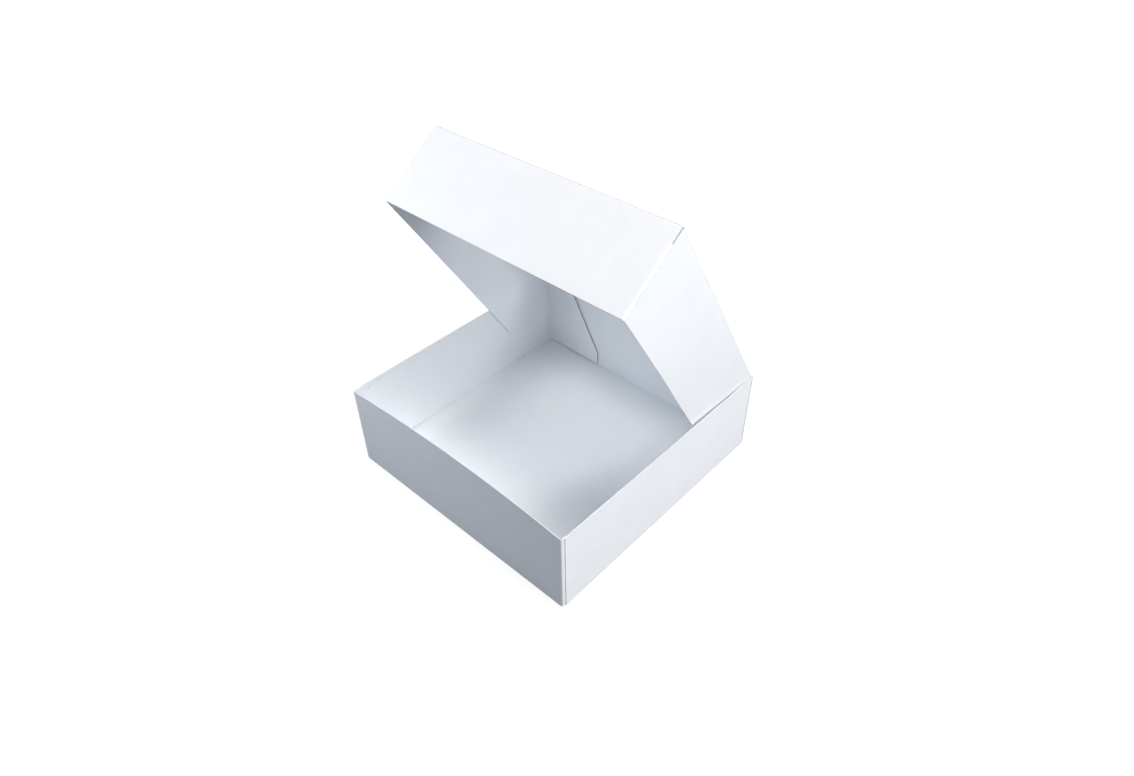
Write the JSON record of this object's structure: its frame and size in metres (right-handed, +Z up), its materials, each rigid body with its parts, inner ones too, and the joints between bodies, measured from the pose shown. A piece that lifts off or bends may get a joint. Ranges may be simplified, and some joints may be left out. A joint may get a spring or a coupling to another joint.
{
  "type": "bakery box with window",
  "caption": "Square folded paperboard bakery box: a shallow tray with glued corner tabs and a hinged lid whose flaps tuck inside, with a clear film window in the lid.",
  "frame": {"origin": "middle of the tray's underside, on the surface that the box stands on", "axes": "+X to the right along the front wall, +Y from the front wall to the back wall that carries the lid, +Z up"},
  "size_m": [0.229, 0.229, 0.261],
  "materials": {
    "paperboard": "white clay-coated board, smooth matte",
    "window_film": "clear glossy film"
  },
  "bodies": {
    "tray": {"tray": "paperboard"},
    "lid": {"lid": "paperboard", "window_film": "window_film"}
  },
  "joints": [
    {"name": "lid_hinge", "type": "hinge", "parent": "tray", "child": "lid", "pos_m": [0, 0.1142, 0.0747], "axis": [-1, 0, 0], "range_deg": [-58, 122]}
  ]
}
